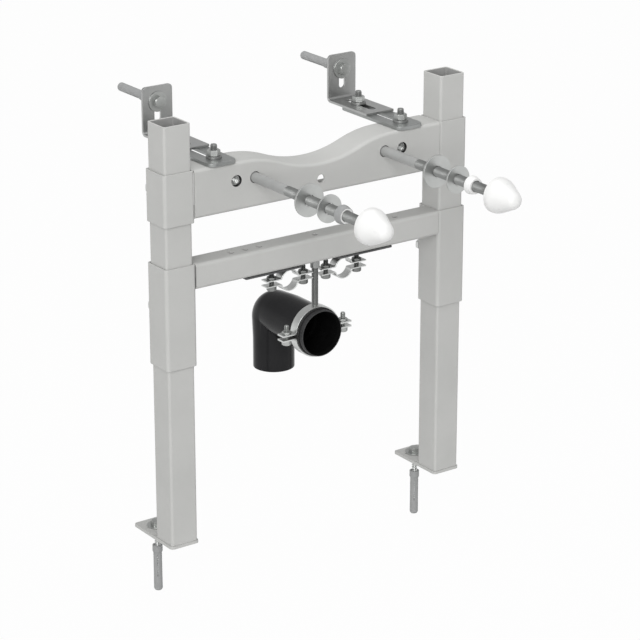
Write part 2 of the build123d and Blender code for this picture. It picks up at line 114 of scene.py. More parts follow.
def seen_ray(tree):
    """One for rays that show the surround: straight from the camera, mirrored or let through."""
    path = tree.nodes.new("ShaderNodeLightPath")
    shown = path.outputs["Is Camera Ray"]
    for ray in ("Is Glossy Ray", "Is Transmission Ray"):
        either = tree.nodes.new("ShaderNodeMath")
        either.operation = "MAXIMUM"
        tree.links.new(shown, either.inputs[0])
        tree.links.new(path.outputs[ray], either.inputs[1])
        shown = either.outputs[0]
    return shown


def ranged(tree, value, old, new):
    """A value moved in a straight line from one range to another, and held at the ends."""
    node = tree.nodes.new("ShaderNodeMapRange")
    node.inputs["From Min"].default_value, node.inputs["From Max"].default_value = old
    node.inputs["To Min"].default_value, node.inputs["To Max"].default_value = new
    tree.links.new(value, node.inputs["Value"])
    return node.outputs["Result"]


lit_heights = (0.35, 0.95)
lit_strengths = (0.64, 0.5)
shown_heights = (0.0, 0.36)
shown_strengths = (1.0, 0.52)
world = bpy.data.worlds.new("studio")
world.use_nodes = True
bpy.context.scene.world = world
sky = world.node_tree
ray_parts = sky.nodes.new("ShaderNodeSeparateXYZ")
sky.links.new(sky.nodes.new("ShaderNodeTexCoord").outputs["Generated"], ray_parts.inputs[0])
ray_height = ray_parts.outputs["Z"]
strength = sky.nodes.new("ShaderNodeMix")
sky.links.new(seen_ray(sky), strength.inputs["Factor"])
sky.links.new(ranged(sky, ray_height, lit_heights, lit_strengths), strength.inputs["A"])
sky.links.new(ranged(sky, ray_height, shown_heights, shown_strengths), strength.inputs["B"])
backdrop = sky.nodes["Background"]
backdrop.inputs["Color"].default_value = (1.0, 1.0, 1.0, 1.0)
sky.links.new(strength.outputs["Result"], backdrop.inputs["Strength"])

floor_half = 6.0
floor_below = 0.003
floor_grey = 0.62
floor_glow = 0.97
floor_z = cad_low[2] - floor_below
floor_signs = ((-1, -1), (1, -1), (1, 1), (-1, 1))
floor_corners = [(x * floor_half, y * floor_half, floor_z) for x, y in floor_signs]
floor_mesh = bpy.data.meshes.new("floor")
floor_mesh.from_pydata(floor_corners, [], [(0, 1, 2, 3)])
floor = bpy.data.objects.new("floor", floor_mesh)
bpy.context.collection.objects.link(floor)
floor_finish = bpy.data.materials.new("pale floor")
floor_finish.use_nodes = True
ground = floor_finish.node_tree
matt = ground.nodes["Principled BSDF"]
matt.inputs["Base Color"].default_value = (floor_grey, floor_grey, floor_grey, 1.0)
matt.inputs["Roughness"].default_value = 1.0
glow = ground.nodes.new("ShaderNodeEmission")
either = ground.nodes.new("ShaderNodeMixShader")
glow_share = ranged(ground, seen_ray(ground), (0.0, 1.0), (0.0, floor_glow))
ground.links.new(glow_share, either.inputs["Fac"])
ground.links.new(matt.outputs[0], either.inputs[1])
ground.links.new(glow.outputs[0], either.inputs[2])
ground.links.new(either.outputs[0], ground.nodes["Material Output"].inputs["Surface"])
floor_mesh.materials.append(floor_finish)

# Legs: two square steel tubes, open at the top, cut to length and powder coated light grey.
# The coat is a satin skin with a fine orange peel; it rolls over the cut edges of the tube.
sides = ("left", "right")
mm = 0.001
cloud_range = (0.3, 0.7)


def mottle(tree, place, size, detail=3.0):
    """Cloudy noise with blots of about the given size in metres."""
    noise = tree.nodes.new("ShaderNodeTexNoise")
    noise.inputs["Scale"].default_value = 1.0 / size
    noise.inputs["Detail"].default_value = detail
    tree.links.new(place, noise.inputs["Vector"])
    return noise.outputs["Fac"]


def new_finish(name, dark, light, blot, rough, patch, grain, depth, fine=2.0, metal=0.0, shine=0.5):
    """A material of two tones in cloudy blots, with a roughness that comes and goes in patches and
    a grain that raises the surface by its depth. Blot, patch, grain and depth are in metres."""
    material = bpy.data.materials.new(name)
    material.use_nodes = True
    tree = material.node_tree
    shader = tree.nodes["Principled BSDF"]
    shader.inputs["Metallic"].default_value = metal
    shader.inputs["Specular IOR Level"].default_value = shine
    place = tree.nodes.new("ShaderNodeTexCoord").outputs["Object"]
    ramp = tree.nodes.new("ShaderNodeValToRGB")
    for stop, position, tone in zip(ramp.color_ramp.elements, cloud_range, (dark, light)):
        stop.position = position
        stop.color = (*tone, 1.0)
    tree.links.new(mottle(tree, place, blot), ramp.inputs["Fac"])
    tree.links.new(ramp.outputs["Color"], shader.inputs["Base Color"])
    gloss = ranged(tree, mottle(tree, place, patch), cloud_range, rough)
    tree.links.new(gloss, shader.inputs["Roughness"])
    bump = tree.nodes.new("ShaderNodeBump")
    bump.inputs["Distance"].default_value = depth
    tree.links.new(mottle(tree, place, grain, fine), bump.inputs["Height"])
    tree.links.new(bump.outputs["Normal"], shader.inputs["Normal"])
    return material


powder_coat = new_finish(
    "grey powder coat", (0.485, 0.487, 0.474), (0.515, 0.516, 0.503), blot=60 * mm,
    rough=(0.5, 0.62), patch=9 * mm, grain=1.6 * mm, depth=0.05 * mm, shine=0.22)
bare_steel_and_shade = new_finish(
    "bare steel and shade", (0.32, 0.32, 0.315), (0.38, 0.38, 0.375), blot=12 * mm,
    rough=(0.5, 0.7), patch=4 * mm, grain=1.0 * mm, depth=0.03 * mm)


def eased(points, radii, steps=5):
    """A profile with its inner points eased: each gives way to the parabola
    (1-t)^2 start + 2t(1-t) corner + t^2 end, which leaves the two sides a radius away from it."""
    points = np.asarray(points, float)
    corner = points[1:-1]
    reach = np.broadcast_to(radii, len(corner))[:, None]
    back = points[:-2] - corner
    ahead = points[2:] - corner
    start = corner + back * np.minimum(reach / np.linalg.norm(back, axis=1, keepdims=True), 0.5)
    end = corner + ahead * np.minimum(reach / np.linalg.norm(ahead, axis=1, keepdims=True), 0.5)
    t = np.linspace(0.0, 1.0, steps)[None, :, None]
    curve = (1 - t) ** 2 * start[:, None] + 2 * t * (1 - t) * corner[:, None] + t**2 * end[:, None]
    return np.vstack([points[:1], curve.reshape(-1, points.shape[1]), points[-1:]])


def outline(half_x, half_y, corner, steps=8):
    """Rounded rectangle: four quarter circles of the corner's radius about the corners of the
    rectangle smaller by that radius all round, closed on its first point. Rows broadcast."""
    quarter = np.append(np.repeat(np.arange(4), steps), 0)
    turn = (np.arange(4)[:, None] + np.linspace(0.0, 1.0, steps)).ravel()
    angle = np.append(turn, 0.0) * math.pi / 2
    x = np.array([1, -1, -1, 1])[quarter] * (half_x - corner) + corner * np.cos(angle)
    y = np.array([1, 1, -1, -1])[quarter] * (half_y - corner) + corner * np.sin(angle)
    return x, y


def stacked(x, y, z, half_x, half_y, corner):
    """Surface through a stack of rounded rectangles, a row each with its centre and height."""
    rows = (x, y, z, half_x, half_y, corner)
    columns = [np.atleast_1d(np.asarray(value, float))[:, None] for value in rows]
    x, y, z, half_x, half_y, corner = columns
    across, along = outline(half_x, half_y, corner)
    return np.stack(np.broadcast_arrays(x + across, y + along, z), axis=-1)


merge_within = 1e-6
sliver_within = 1e-7


def fitted(name, mesh, finishes, body, replaced, crease):
    """Give a mesh its shading, finishes and place in the assembly."""
    mesh.shade_smooth()
    mesh.set_sharp_from_angle(angle=math.radians(crease))
    for finish in finishes:
        mesh.materials.append(finish)
    thing = bpy.data.objects.new(name, mesh)
    bpy.context.collection.objects.link(thing)
    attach(thing, body)
    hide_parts(*replaced)
    return thing


def levelled(thing, keep_sharp):
    """Let the large faces set the shading at their edges."""
    level_faces = thing.modifiers.new("level faces", "WEIGHTED_NORMAL")
    level_faces.keep_sharp = keep_sharp
    return thing


def piece(name, grids, finish, body, slot, *replaced, crease=35.0):
    """Join grids of points into one mesh: each four neighbours make a face, points that meet are
    merged, faces are turned outwards and edges sharper than the crease angle stay sharp. One finish
    serves all grids, or a list gives each its own."""
    finishes = finish if isinstance(finish, list) else [finish] * len(grids)
    kinds = list(dict.fromkeys(finishes))
    counts = [grid.shape[0] * grid.shape[1] for grid in grids]
    quads = []
    for grid, count, end in zip(grids, counts, np.cumsum(counts)):
        index = np.arange(end - count, end).reshape(grid.shape[:2])
        corners = (index[:-1, :-1], index[1:, :-1], index[1:, 1:], index[:-1, 1:])
        quads.append(np.stack(corners, axis=-1).reshape(-1, 4))
    points = np.vstack([grid.reshape(-1, 3) for grid in grids])
    kind = [np.full(len(faces), kinds.index(used)) for faces, used in zip(quads, finishes)]
    mesh = bpy.data.meshes.new(name)
    mesh.from_pydata(points.tolist(), [], np.vstack(quads).tolist())
    mesh.polygons.foreach_set("material_index", np.concatenate(kind))
    work = bmesh.new()
    work.from_mesh(mesh)
    bmesh.ops.remove_doubles(work, verts=work.verts, dist=merge_within)
    bmesh.ops.dissolve_degenerate(work, edges=work.edges, dist=sliver_within)
    bmesh.ops.recalc_face_normals(work, faces=work.faces)
    work.to_mesh(mesh)
    work.free()
    levelled(fitted(name, mesh, kinds, body, replaced, crease), True)


cut_edge = 0.5 * mm
cut_steps = 5
least_corner = 0.3 * mm


def tube_wall(x, low, high, width, wall, corner):
    """Square tube: the wall's closed section (inset from the outside, height), with eased cut
    edges, carried round the rounded square; corner arcs keep their centres as the inset grows. The
    inner face, which the coat does not reach, comes last as a surface of its own; its darker bare
    steel is also painted shade inside the tube."""
    middle = (low + high) / 2
    section = [(0, middle), (0, high), (wall, high), (wall, low), (0, low), (0, middle)]
    inset, height = eased(section, cut_edge, cut_steps).T
    half = width / 2 - inset
    skin = stacked(x, 0.0, height, half, half, np.maximum(corner - inset, least_corner))
    inner = 2 * cut_steps
    return [skin[:inner + 1], skin[inner + 1:], skin[inner:inner + 2]]


# The inner faces' darker bare steel is also painted shade inside the tubes.
coated_tube = [powder_coat, powder_coat, bare_steel_and_shade]
leg_wall = 2.0 * mm
leg_corner = 3.0 * mm
leg_x = {}
for side in sides:
    low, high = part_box(f"{side}_leg")
    leg_x[side] = (low[0] + high[0]) / 2
    leg_width = high[0] - low[0]
    tube = tube_wall(leg_x[side], low[2], high[2], leg_width, leg_wall, leg_corner)
    piece(f"{side}_leg_tube", tube, coated_tube, "legs", "grey powder coat", f"{side}_leg")

# Foot plates: punched steel plates welded under the legs, with a tail behind for the floor screw.
# They are coated with the legs, so the punched edges are rounded by the coat.
sheet_crease = 30.0
flat_within = math.radians(0.3)


def pressed(node, name, edge, finish, body):
    """A punched and bent sheet: a merged copy of the node's mesh with its cut edges eased."""
    mesh = nodes[node].data.copy()
    mesh.materials.clear()
    work = bmesh.new()
    work.from_mesh(mesh)
    bmesh.ops.remove_doubles(work, verts=work.verts, dist=merge_within)
    bmesh.ops.dissolve_limit(work, angle_limit=flat_within, verts=work.verts, edges=work.edges)
    work.to_mesh(mesh)
    work.free()
    if "custom_normal" in mesh.attributes:
        mesh.attributes.remove(mesh.attributes["custom_normal"])
    thing = fitted(name, mesh, [finish], body, [node], sheet_crease)
    rolled = thing.modifiers.new("rolled edges", "BEVEL")
    rolled.width = edge
    rolled.segments = 2
    rolled.limit_method = "ANGLE"
    rolled.angle_limit = math.radians(sheet_crease)
    return levelled(thing, False)


for side in sides:
    name = f"{side}_foot"
    pressed(f"{name}_plate", f"{name}_sheet", cut_edge, powder_coat, "legs")

# Floor screws: zinc-plated hex screws with a flat washer, through the plate's tail into the plug.
# The head is forged and chamfered, and a coarse wood thread starts below the plate.
gloss_spread = 0.05


def plated(name, dark, light, rough, metal=1.0):
    """Plated steel: two tones in cloudy patches, uneven gloss and a very fine grain."""
    return new_finish(
        name, dark, light, blot=14 * mm, rough=(rough - gloss_spread, rough + gloss_spread),
        patch=3 * mm, grain=0.9 * mm, depth=0.0015 * mm, metal=metal)


zinc = plated("zinc plate", (0.58, 0.59, 0.58), (0.66, 0.67, 0.66), 0.36)
dull_zinc = plated("dull zinc", (0.38, 0.39, 0.38), (0.45, 0.46, 0.45), 0.33, 0.85)
upright_from = 0.9
washer_edge = 0.35 * mm
hex_columns = 60
hex_face = 0.475
hex_foot = 0.05 * mm
chamfer_steps = 5
crest = 0.125
rows_per_pitch = 8


def spun(radius, distance, origin, axis, columns=48, angle=None):
    """Turned surface: point = origin + distance * axis + radius * (cos a * side + sin a * up), with
    a going once round in even columns, or through the given angles, and ending where it began.
    Radius and distance may change with a."""
    axis = np.asarray(axis, float)
    level = abs(axis[2]) < upright_from
    side = np.cross(axis, (0.0, 0.0, 1.0) if level else (0.0, 1.0, 0.0))
    if angle is None:
        angle = np.linspace(0.0, 2 * math.pi, columns + 1)
    spoke = np.cos(angle)[:, None] * side + np.sin(angle)[:, None] * np.cross(axis, side)
    spoke[-1] = spoke[0]
    radius = np.asarray(radius, float).reshape(len(radius), -1)
    distance = np.asarray(distance, float).reshape(len(distance), -1)
    return np.asarray(origin) + distance[..., None] * axis + radius[..., None] * spoke


def turned(points, edge, origin, axis, columns=48):
    """A turned ring or disc from the eased profile of its section, in (radius, distance) points."""
    profile = eased(points, edge)
    return spun(profile[:, 0], profile[:, 1], origin, axis, columns)


def washer(outer, bore, low, high, origin, axis):
    """A flat ring with tumbled edges: its section is carried round and closed at the bore."""
    section = [(bore, low), (outer, low), (outer, high), (bore, high), (bore, low)]
    return turned(section, washer_edge, origin, axis)


def hex_block(across, low, high, bore, origin, axis, both=False):
    """Hex head or nut: the radius is the smaller of the hexagon, across / 2 / cos(angle from the
    flat), and a 30 degree cone that chamfers the free face, or both faces on a nut."""
    angle = np.linspace(0.0, 2 * math.pi, hex_columns + 1)
    flat = across / 2 / np.cos((angle + math.pi / 6) % (math.pi / 3) - math.pi / 6)
    face = hex_face * across
    corner = across / 2 / math.cos(math.pi / 6)
    rise = (corner - face) * math.tan(math.pi / 6)
    steps = np.linspace(0.0, 1.0, chamfer_steps)
    cone = face + (corner - face) * steps
    bottom = cone if both else np.full(chamfer_steps, corner)
    lower = low + (rise if both else hex_foot) * steps
    upper = high - rise * steps[::-1]
    side = np.minimum(flat, np.concatenate([bottom, cone[::-1]])[:, None])
    ends = np.full((1, hex_columns + 1), bore)
    radius = np.vstack([ends, side, ends, ends])
    height = np.concatenate([[low], lower, upper, [high, low]])
    return spun(radius, height, origin, axis, hex_columns)


def thread(outer, pitch, start, end, origin, axis, columns=28, depth=0.61):
    """Screw thread: rows follow the helix, distance = u + pitch * a / 2 pi, and the radius drops
    from crest to root, by a depth in pitches, as a trapezoid wave of u / pitch. It runs out to the
    root and closes at both ends."""
    turn = np.linspace(0.0, 1.0, columns + 1)
    step = pitch / rows_per_pitch
    u = np.arange(start - pitch, end + step, step)
    distance = np.clip(u[:, None] + pitch * turn, start, end)
    from_crest = np.abs(2 * (u / pitch % 1.0) - 1)[:, None]
    wave = np.clip((1 - crest - from_crest) / (1 - 2 * crest), 0.0, 1.0)
    fade = np.clip(np.minimum(distance - start, end - distance) / pitch, 0.0, 1.0)
    radius = outer - depth * pitch * (1 - wave * fade)
    closed = np.zeros((1, columns + 1))
    radius = np.vstack([closed, radius, closed])
    distance = np.vstack([closed + start, distance, closed + end])
    return spun(radius, distance, origin, axis, columns)


screw_across = 13.0 * mm
screw_radius = 3.5 * mm
screw_washer = 12.0 * mm
screw_washer_height = 1.5 * mm
screw_head = 5.5 * mm
screw_pitch = 3.0 * mm
screw_columns = 24
screw_depth = 0.3
plug_x_y = {}
for side in sides:
    low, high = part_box(f"{side}_floor_plug")
    plug_x_y[side] = ((low[0] + high[0]) / 2, (low[1] + high[1]) / 2)
plate_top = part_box("left_foot_plate")[1][2]
screw_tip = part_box("floor_screws")[0][2]
up = (0.0, 0.0, 1.0)


def hex_screw(seat, length, axis):
    """A hex screw on its washer, from the seat down its axis to the tip inside the plug."""
    low = screw_washer_height
    high = low + screw_head
    return [
        washer(screw_washer, screw_radius, 0.0, low, seat, axis),
        hex_block(screw_across, low, high, 0.0, seat, axis),
        thread(screw_radius, screw_pitch, -length, low, seat, axis, screw_columns, screw_depth),
    ]


floor_screws = []
for side in sides:
    floor_screws += hex_screw((*plug_x_y[side], plate_top), plate_top - screw_tip, up)
screw_finish = [dull_zinc, dull_zinc, zinc] * 2
piece("floor_screw_pair", floor_screws, screw_finish, "legs", "zinc-plated steel", "floor_screws")

# Plugs: grey nylon wall plugs, moulded with a collar, shallow rings and a slit down each flank.
# They hang on the screws, four in all: two for the floor and two for the wall.
nylon = new_finish(
    "grey nylon", (0.285, 0.29, 0.29), (0.32, 0.325, 0.325), blot=5 * mm,
    rough=(0.42, 0.58), patch=2 * mm, grain=0.8 * mm, depth=0.04 * mm)
plug_collar = 6.0 * mm
plug_radius = 5.15 * mm
plug_collar_length = 8.0 * mm
plug_collar_bevel = 0.8 * mm
plug_tip = (1.2 * mm, 2.0 * mm)
plug_edge = 0.6 * mm
plug_slit_half = 0.5 * mm
plug_slit_from = 12.0 * mm
plug_slit_to = 39.0 * mm
plug_slit_floor = screw_radius * 0.9
plug_length = 58.0 * mm
plug_ring = 0.18 * mm
plug_ring_pitch = 3.2 * mm
rings_before_slit = 2.0 * mm
rings_after_slit = 4.0 * mm
ring_rows = 120
flank_columns = 16
slit_columns = np.array([-1.02, -0.98, 0.0, 0.98, 1.02])
floor_slit_turn = math.radians(55.0)


def plug(mouth, axis, slit_turn):
    """Moulded plug: a turned profile with rings, radius = body - ring * sin^2, where the two slits
    drop to the screw; the columns crowd at the slits so that their walls are steep."""
    slit = math.asin(plug_slit_half / plug_radius)
    half_turn = np.concatenate([
        slit_columns * slit,
        np.linspace(slit * 3, math.pi - slit * 3, flank_columns),
    ])
    angle = np.concatenate([half_turn, half_turn + math.pi, half_turn[:1] + 2 * math.pi])
    profile = eased([
        (screw_radius, 0.0),
        (plug_collar, 0.0),
        (plug_collar, -plug_collar_length),
        (plug_radius, -plug_collar_length - plug_collar_bevel),
        (plug_radius, -plug_length + plug_tip[1]),
        (plug_radius - plug_tip[0], -plug_length),
        (0.0, -plug_length),
    ], plug_edge)
    rings_from = -plug_slit_from + rings_before_slit
    rings_to = -plug_slit_to - rings_after_slit
    rows = np.linspace(rings_from, rings_to, ring_rows)
    body = np.searchsorted(-profile[:, 1], -rows[0])
    plain = np.full(rows.shape, plug_radius)
    radius = np.concatenate([profile[:body, 0], plain, profile[body:, 0]])
    distance = np.concatenate([profile[:body, 1], rows, profile[body:, 1]])
    ring = plug_ring * np.sin(distance / plug_ring_pitch * math.pi) ** 2
    in_rings = (distance < rows[0]) & (distance > rows[-1])
    radius = radius - np.where(in_rings, ring, 0.0)
    in_slit = (distance < -plug_slit_from) & (distance > -plug_slit_to)
    at_slit = np.abs((angle + math.pi / 2) % math.pi - math.pi / 2) < slit
    radius = np.where(in_slit[:, None] & at_slit, plug_slit_floor, radius[:, None])
    return spun(radius, distance, mouth, axis, angle=angle + slit_turn)


for side in sides:
    mouth = (*plug_x_y[side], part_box(f"{side}_floor_plug")[1][2])
    body = plug(mouth, up, floor_slit_turn)
    piece(f"{side}_floor_plug_body", [body], nylon, "legs", "grey nylon", f"{side}_floor_plug")

# Sleeves: square tubes that slide on the legs, each with a hex nut welded on its back wall.
# The upper pair carries the beam and the lower pair the bar, and all are coated as the legs are.
sleeve_width = 40.0 * mm
sleeve_wall = 2.0 * mm
sleeve_corner = 4.0 * mm
sleeve_finish = coated_tube + [powder_coat]
lock_across = 13.0 * mm
lock_nut = 7.0 * mm
lock_radius = 4.0 * mm
to_wall = (0.0, 1.0, 0.0)
body_of_level = {"upper": "beam", "lower": "bar"}
for level_name, body in body_of_level.items():
    for side in sides:
        name = f"{level_name}_{side}_sleeve"
        low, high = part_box(name)
        tube = tube_wall(leg_x[side], low[2], high[2], sleeve_width, sleeve_wall, sleeve_corner)
        nut_seat = (leg_x[side], sleeve_width / 2, (low[2] + high[2]) / 2)
        nut = hex_block(lock_across, 0.0, lock_nut, lock_radius, nut_seat, to_wall)
        piece(f"{name}_tube", tube + [nut], sleeve_finish, body, "grey powder coat", name)

# Lock bolts: zinc-plated hex bolts, one behind each sleeve, with a rolled thread.
# They screw through the welded nuts and press on the legs, which holds the sleeves at a height.
lock_head = 5.5 * mm
lock_pitch = 1.25 * mm
thread_sunk = 0.5 * mm
for level_name, body in body_of_level.items():
    name = f"{level_name}_lock_bolts"
    low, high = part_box(name)
    head_at = high[1] - low[1] - lock_head
    bolts = []
    for side in sides:
        tip = (leg_x[side], low[1], (low[2] + high[2]) / 2)
        bolts.append(thread(lock_radius, lock_pitch, 0.0, head_at + thread_sunk, tip, to_wall))
        bolts.append(hex_block(lock_across, head_at, head_at + lock_head, 0.0, tip, to_wall))
    piece(f"{name}_pair", bolts, zinc, body, "zinc-plated steel", name)

# Top beam: a channel pressed from 2.5 mm sheet, open at the back, with a dip in its top edge.
# It is welded between the upper sleeves and coated with them; its holes are punched.
beam_channel = pressed(
    "top_beam", "top_beam_channel", cut_edge, powder_coat, "beam").data

# Threaded inserts: four turned steel bushes welded behind the beam's front, with M12 threads.
# Each has a near-black countersink as painted shade, a bright zinc lip as a painted highlight and a
# dark thread; the outer pair is empty.
# The edges of the windows in front of them are near black, as painted shade.
dark_zinc = plated("dark zinc", (0.17, 0.175, 0.17), (0.25, 0.255, 0.25), 0.4)
painted_shade_steel = plated("blackened steel", (0.03, 0.03, 0.03), (0.05, 0.05, 0.05), 0.45)
insert_radius = 10.0 * mm
insert_sink = 1.2 * mm
insert_lip = 0.6 * mm
insert_edge = 0.3 * mm
insert_columns = 40
insert_low, insert_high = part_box("threaded_inserts")
insert_length = insert_high[1] - insert_low[1]
insert_z = (insert_low[2] + insert_high[2]) / 2
rod_pitch = 1.75 * mm
rod_radius = 6.0 * mm
insert_thread = 0.8 * mm
insert_bore = rod_radius - insert_thread
inner_depth = 0.6
rod_x = {}
for side in sides:
    low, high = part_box(f"{side}_fixing_rod")
    rod_x[side] = (low[0] + high[0]) / 2
spare_x = (insert_low[0] + insert_radius, insert_high[0] - insert_radius)
insert_x = (*spare_x, *rod_x.values())


def inner_thread(inner, pitch, start, end, origin, axis, columns):
    """Threaded bore: its radius swells and shrinks with the helix,
    inner + depth * (1 - cos(2 pi (distance / pitch - turn))) / 2."""
    turn = np.linspace(0.0, 1.0, columns + 1)
    step = pitch / rows_per_pitch
    rows = np.arange(start, end + step / 2, step)[:, None]
    fade = np.clip(np.minimum(rows - start, end - rows) / pitch, 0.0, 1.0)
    wave = (1 - np.cos(2 * math.pi * (rows / pitch - turn))) / 2
    radius = inner + inner_depth * pitch * fade * wave
    radius[:, -1] = radius[:, 0]
    rows[-1] = end
    return spun(radius, rows, origin, axis, columns)


inserts = []
for x in insert_x:
    seat = (x, insert_low[1], insert_z)
    jacket = [
        (insert_bore, insert_length),
        (insert_radius, insert_length),
        (insert_radius, 0.0),
        (insert_bore + insert_lip + insert_sink, 0.0),
        (insert_bore + insert_lip, insert_sink),
    ]
    lip = [
        (insert_bore + insert_lip, insert_sink),
        (insert_bore, insert_sink),
        (insert_bore, insert_sink + insert_lip),
    ]
    bore = (insert_bore, rod_pitch, insert_sink + insert_lip, insert_length)
    inserts.append(turned(jacket, insert_edge, seat, to_wall, insert_columns))
    inserts.append(turned(lip, insert_lip, seat, to_wall, insert_columns))
    inserts.append(inner_thread(*bore, seat, to_wall, insert_columns))
# The jackets' near-black finish is painted shade round the countersinks, and the lips' bright zinc
# is a painted highlight.
insert_finish = [painted_shade_steel, zinc, dull_zinc] * 4
piece("threaded_insert_set", inserts, insert_finish, "beam", "zinc-plated steel",
      "threaded_inserts")


def face_values(mesh, key):
    """One vector for each face of a mesh, its center or its normal."""
    values = np.empty(len(mesh.polygons) * 3)
    mesh.polygons.foreach_get(key, values)
    return values.reshape(-1, 3)


window_radius = 6.75 * mm
window_margin = 0.2 * mm
face_x, _, face_z = face_values(beam_channel, "center").T
from_axis = np.hypot(face_x - np.array(insert_x)[:, None], face_z - insert_z).min(axis=0)
edge_on = np.abs(face_values(beam_channel, "normal")[:, 1]) < 0.5
# Faces on the windows' edges take the near-black steel, as painted shade.
painted_shade = (from_axis < window_radius + window_margin) & edge_on
beam_channel.materials.append(painted_shade_steel)
beam_channel.polygons.foreach_set("material_index", painted_shade.astype(int))

# Fixing rods: M12 steel rods screwed into the inner inserts, zinc plated.
# They have a plain shank behind and a darker rolled thread in front, for the bidet.
rod_zinc = plated("rod zinc", (0.37, 0.375, 0.37), (0.41, 0.415, 0.41), 0.44, 0.3)
oiled_zinc = plated("oiled zinc", (0.23, 0.235, 0.23), (0.28, 0.285, 0.28), 0.42, 0.7)
rod_finish = [rod_zinc, oiled_zinc]
rod_edge = 0.6 * mm
thread_from = 64.0 * mm
thread_crease = 50.0
beam_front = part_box("top_beam")[0][1]
to_front = (0.0, -1.0, 0.0)
for side in sides:
    name = f"{side}_fixing_rod"
    low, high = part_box(name)
    back = (rod_x[side], beam_front, insert_z)
    inside = high[1] - beam_front
    reach = beam_front - low[1]
    section = [(0, -inside), (rod_radius, -inside), (rod_radius, thread_from), (0, thread_from)]
    shank = turned(section, rod_edge, back, to_front)
    front = thread(rod_radius, rod_pitch, thread_from - thread_sunk, reach, back, to_front)
    piece(f"{name}_steel", [shank, front], rod_finish, "beam", "zinc-plated steel", name,
          crease=thread_crease)

# Rod washers: a large and a small flat washer on each rod, stamped from sheet and zinc plated.
# They sit on the thread and press on the bidet once it is fitted.
washer_zinc = plated("washer zinc", (0.48, 0.49, 0.48), (0.54, 0.55, 0.54), 0.34, 0.85)
large_washer = 19.0 * mm
large_height = 2.5 * mm
small_washer = 16.0 * mm
small_height = 2.0 * mm
washer_bore = 6.4 * mm
for side in sides:
    name = f"{side}_rod_washers"
    low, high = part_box(name)
    on_axis = (rod_x[side], 0.0, insert_z)
    back = -high[1]
    front = -low[1]
    large = washer(large_washer, washer_bore, back, back + large_height, on_axis, to_front)
    small = washer(small_washer, washer_bore, front - small_height, front, on_axis, to_front)
    piece(f"{name}_pair", [large, small], washer_zinc, "beam", "zinc-plated steel", name)

# Rod bushes: moulded plastic bushes pushed on to the rods, which centre the bidet's holes on them.
# Both are white inside and at the nose's end; the left one's jacket is grey, as painted shade.
white_plastic = new_finish(
    "white plastic", (0.80, 0.80, 0.79), (0.84, 0.84, 0.835), blot=25 * mm,
    rough=(0.26, 0.36), patch=6 * mm, grain=2.5 * mm, depth=0.02 * mm, fine=1.0)
bush_nose = 9.0 * mm
bush_collar = 3.0 * mm
bush_draft = 0.3 * mm
bush_edge = 0.6 * mm
# The left jacket's grey is painted shade on a white bush.
jacket_finish = {"left": nylon, "right": white_plastic}
for side in sides:
    name = f"{side}_rod_bush"
    low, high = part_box(name)
    bush_radius = (high[0] - low[0]) / 2
    on_axis = (rod_x[side], 0.0, insert_z)
    back = -high[1]
    front = -low[1]
    profile = eased([
        (washer_bore, back),
        (bush_radius, back),
        (bush_radius - bush_draft, back + bush_collar),
        (bush_nose, front),
        (washer_bore, front),
        (washer_bore, back),
    ], bush_edge)
    jacket_rows = len(profile) * 3 // 4
    parts = (profile[:jacket_rows], profile[jacket_rows - 1:])
    skins = [spun(part[:, 0], part[:, 1], on_axis, to_front) for part in parts]
    finishes = [jacket_finish[side], white_plastic]
    piece(f"{name}_ring", skins, finishes, "beam", "white plastic", name)

# Rod caps: hollow white plastic caps, moulded with a round nose over a conical skirt.
# Each is pushed on the end of its rod, with a stem inside that grips it.
cap_rim = 7.0 * mm
cap_nose = 11.0 * mm
cap_wall = 2.5 * mm
cap_shoulder = 5.0 * mm
cap_edge = 0.6 * mm
cap_stem = 28.0 * mm
cap_stem_edge = 0.4 * mm
cap_columns = 64
nose_steps = 28
shoulder_steps = 9


def cap_curve(radius, length, inset):
    """Rim, cone and nose of the cap moved inwards: the cone is the tangent from the rim's end to
    the nose's circle, which it meets where the circle's radius leans by that tangent's angle."""
    rim = radius - inset
    nose = cap_nose - inset
    centre = length - cap_nose
    to_centre = math.hypot(rim, centre - cap_rim)
    lean = math.atan2(cap_rim - centre, rim) + math.acos(nose / to_centre)
    arc = np.linspace(lean, math.pi / 2, nose_steps)
    tip = np.stack([nose * np.cos(arc), centre + nose * np.sin(arc)], axis=1)
    shoulder = eased([(rim, 0.0), (rim, cap_rim), tip[0]], cap_shoulder, shoulder_steps)
    return np.vstack([shoulder[:-1], tip])


for side in sides:
    name = f"{side}_rod_cap"
    low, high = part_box(name)
    cap_radius = (high[0] - low[0]) / 2
    cap_length = high[1] - low[1]
    mouth = (rod_x[side], high[1], insert_z)
    outside = cap_curve(cap_radius, cap_length, 0.0)
    inside = cap_curve(cap_radius, cap_length, cap_wall)[::-1]
    lip = [(cap_radius - cap_wall, 0.0), (cap_radius - cap_edge, 0.0), (cap_radius, cap_edge)]
    profile = np.vstack([inside[:-1], lip, outside[2:]])
    shell = spun(profile[:, 0], profile[:, 1], mouth, to_front, cap_columns)
    stem = turned([
        (washer_bore, 0.0),
        (washer_bore + cap_wall, 0.0),
        (washer_bore + cap_wall, cap_stem),
        (washer_bore, cap_stem),
        (washer_bore, 0.0),
    ], cap_stem_edge, mouth, to_front)
    piece(f"{name}_shell", [shell, stem], white_plastic, "beam", "white plastic", name)

